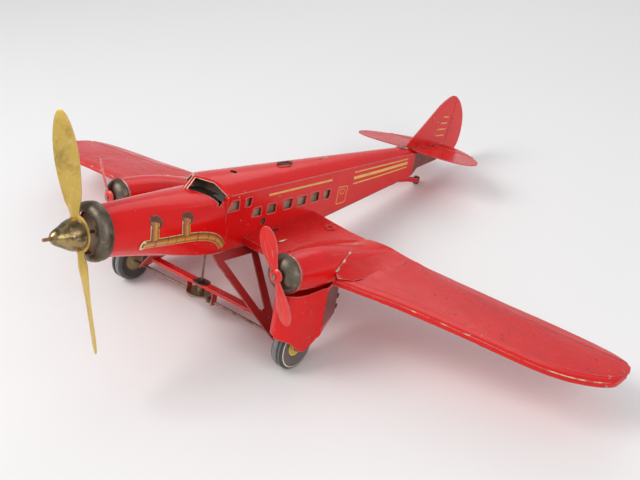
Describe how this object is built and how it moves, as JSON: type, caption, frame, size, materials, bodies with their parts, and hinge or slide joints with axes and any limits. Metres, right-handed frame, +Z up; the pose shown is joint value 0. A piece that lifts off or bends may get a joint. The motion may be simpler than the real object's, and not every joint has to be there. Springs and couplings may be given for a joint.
{
  "type": "toy airplane",
  "caption": "Clockwork tinplate airliner with a nose propeller, outboard engine pods, trousered wheels, cabin windows, a low wing and a rounded tail.",
  "frame": {"origin": "on the floor under the middle of the whole toy, standing on its two main wheels and its tail wheel", "axes": "+X to the nose, +Y to port (the toy's left wing), +Z up"},
  "size_m": [0.4014, 0.4624, 0.15],
  "materials": {
    "red_tin": "lithographed tinplate, satin, worn",
    "dark_red_tin": "dark red enamelled tinplate, worn",
    "aged_steel": "dull grey-brown bare tin",
    "steel": "bare steel, dulled",
    "brass": "brassed tin, stained",
    "red_propeller": "red enamelled tinplate",
    "wheel_tin": "printed tinplate in rings",
    "dark_tyre": "black enamel"
  },
  "bodies": {
    "airframe": {"fuselage_shell": "red_tin", "belly_plate": "red_tin", "nose_ring": "aged_steel", "nose_bulkhead": "dark_red_tin", "ring_lugs": "red_tin", "stabilizer": "red_tin", "fin": "red_tin", "outer_wing_left": "red_tin", "outer_wing_right": "red_tin", "inner_wing_left": "red_tin", "inner_wing_right": "red_tin", "nacelle_left": "red_tin", "nacelle_right": "red_tin", "engine_dome_left": "aged_steel", "engine_dome_right": "aged_steel", "engine_pin_left": "steel", "engine_pin_right": "steel", "motor_plate_left": "steel", "motor_plate_right": "steel", "motor_pillars": "steel", "shaft_bearing_plate": "steel", "mainspring": "steel", "spring_post": "steel", "landing_frame_left": "dark_red_tin", "landing_frame_right": "dark_red_tin", "cross_tie": "dark_red_tin", "shaft_collar_plate": "dark_red_tin", "axle_bracket": "dark_red_tin", "wheel_fairing_left": "dark_red_tin", "wheel_fairing_right": "dark_red_tin", "tail_fork": "dark_red_tin", "tail_wheel_pin": "steel", "hanging_loop": "steel", "wing_eyelets": "steel"},
    "axle_set": {"axle": "steel", "axle_pinion": "brass", "wheel_left_outer": "wheel_tin", "wheel_left_inner": "wheel_tin", "wheel_right_outer": "wheel_tin", "wheel_right_inner": "wheel_tin", "hub_caps": "brass"},
    "drive_shaft_set": {"drive_shaft": "steel", "crown_gear": "brass", "shaft_worm_wheel": "brass"},
    "propeller_set": {"propeller": "brass", "spinner": "brass", "propeller_shaft": "steel", "shaft_pinion": "brass", "shaft_worm": "steel", "thrust_collar": "steel"},
    "second_arbor_set": {"second_arbor": "steel", "second_pinion": "brass", "contrate_wheel": "brass"},
    "great_wheel_set": {"great_wheel": "brass"},
    "winding_set": {"winding_arbor": "steel", "ratchet_wheel": "steel"},
    "left_propeller": {"side_propeller_left": "red_propeller"},
    "right_propeller": {"side_propeller_right": "red_propeller"},
    "tail_wheel_set": {"tail_wheel": "dark_tyre"}
  },
  "joints": [
    {"name": "axle_spin", "type": "hinge", "parent": "airframe", "child": "axle_set", "pos_m": [0.10604, 0, 0.014], "axis": [0, 1, 0], "continuous": true},
    {"name": "drive_shaft_spin", "type": "hinge", "parent": "airframe", "child": "drive_shaft_set", "pos_m": [0.09884, -0.0045, 0.04075], "axis": [-0.2599, 0, 0.9656], "continuous": true},
    {"name": "propeller_spin", "type": "hinge", "parent": "airframe", "child": "propeller_set", "pos_m": [0.17834, 0, 0.09321], "axis": [0.9656, 0, 0.2599], "continuous": true},
    {"name": "second_arbor_spin", "type": "hinge", "parent": "airframe", "child": "second_arbor_set", "pos_m": [0.07626, 0, 0.06574], "axis": [0, 1, 0], "continuous": true},
    {"name": "great_wheel_spin", "type": "hinge", "parent": "airframe", "child": "great_wheel_set", "pos_m": [0.06852, 0, 0.05723], "axis": [0, 1, 0], "continuous": true},
    {"name": "winding_spin", "type": "hinge", "parent": "airframe", "child": "winding_set", "pos_m": [0.06852, 0, 0.05723], "axis": [0, 1, 0], "continuous": true},
    {"name": "left_propeller_spin", "type": "hinge", "parent": "airframe", "child": "left_propeller", "pos_m": [0.11581, 0.0702, 0.06468], "axis": [0.9656, 0, 0.2599], "continuous": true},
    {"name": "right_propeller_spin", "type": "hinge", "parent": "airframe", "child": "right_propeller", "pos_m": [0.11581, -0.0702, 0.06468], "axis": [0.9656, 0, 0.2599], "continuous": true},
    {"name": "tail_wheel_spin", "type": "hinge", "parent": "airframe", "child": "tail_wheel_set", "pos_m": [-0.13147, 0, 0.0034], "axis": [0, 1, 0], "continuous": true}
  ],
  "couplings": [
    {"joint": "drive_shaft_spin", "follows": "axle_spin", "ratio": -0.2},
    {"joint": "propeller_spin", "follows": "axle_spin", "ratio": 3},
    {"joint": "second_arbor_spin", "follows": "axle_spin", "ratio": -1},
    {"joint": "great_wheel_spin", "follows": "axle_spin", "ratio": 0.25}
  ]
}
